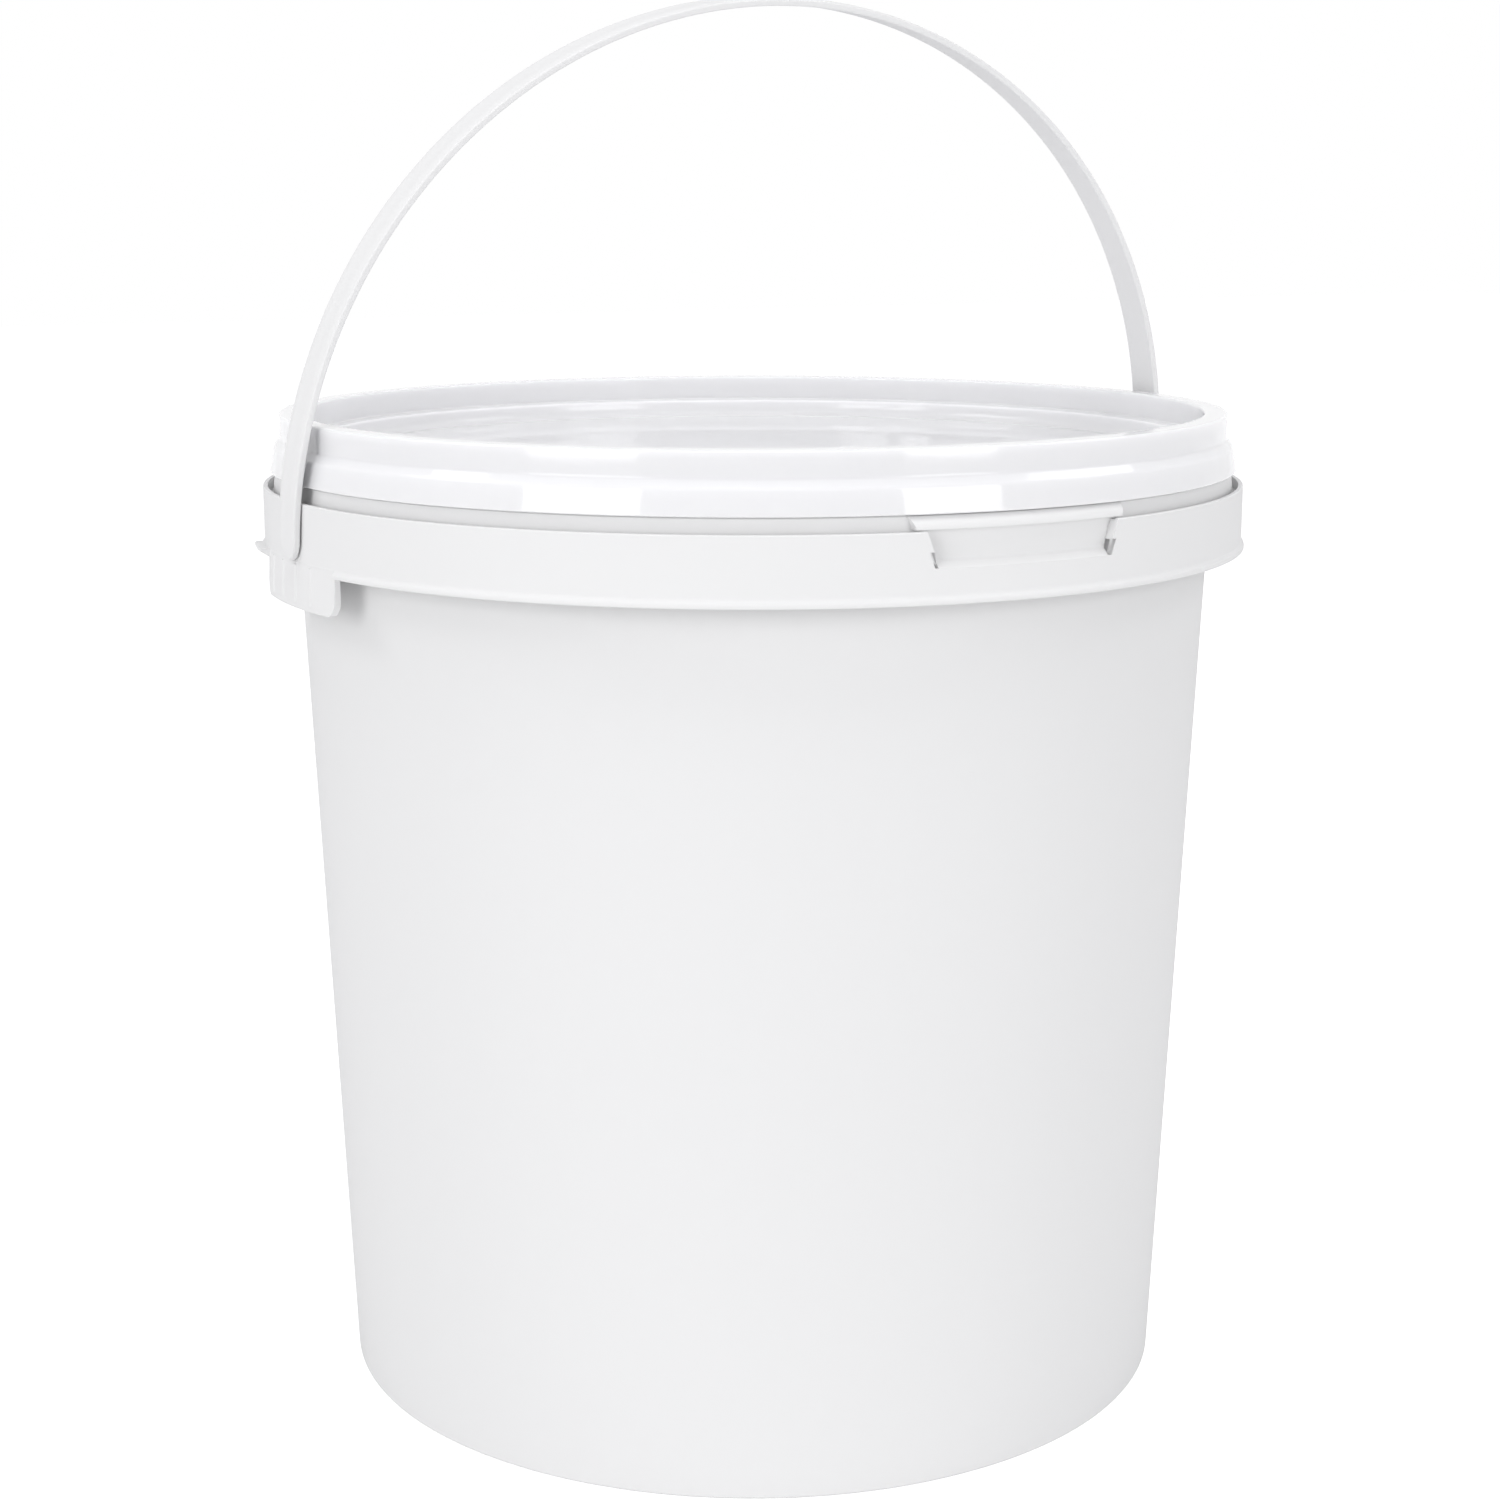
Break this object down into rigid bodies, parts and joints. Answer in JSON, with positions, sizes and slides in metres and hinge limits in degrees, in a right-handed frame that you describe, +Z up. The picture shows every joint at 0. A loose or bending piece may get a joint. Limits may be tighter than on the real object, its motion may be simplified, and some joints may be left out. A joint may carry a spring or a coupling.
{
  "type": "plastic bucket",
  "caption": "Round white plastic pail with a press-on lid, a stiffening collar with a pry tab round its mouth, and a swinging strap handle.",
  "frame": {"origin": "on the floor, at the centre of the pail's base", "axes": "+Z up; X along the handle's pivot axis; the pry tab in the collar faces -Y"},
  "size_m": [0.27, 0.2666, 0.3727],
  "materials": {
    "bucket_plastic": "white polypropylene, injection moulded, satin",
    "lid_plastic": "white polypropylene, injection moulded, high gloss",
    "handle_plastic": "white polypropylene, injection moulded, satin"
  },
  "bodies": {
    "pail": {"bucket": "bucket_plastic", "lid": "lid_plastic"},
    "handle": {"handle": "handle_plastic"}
  },
  "joints": [
    {"name": "handle_swing", "type": "hinge", "parent": "pail", "child": "handle", "pos_m": [0, 0, 0.237], "axis": [1, 0, 0], "range_deg": [-97, 83]}
  ]
}
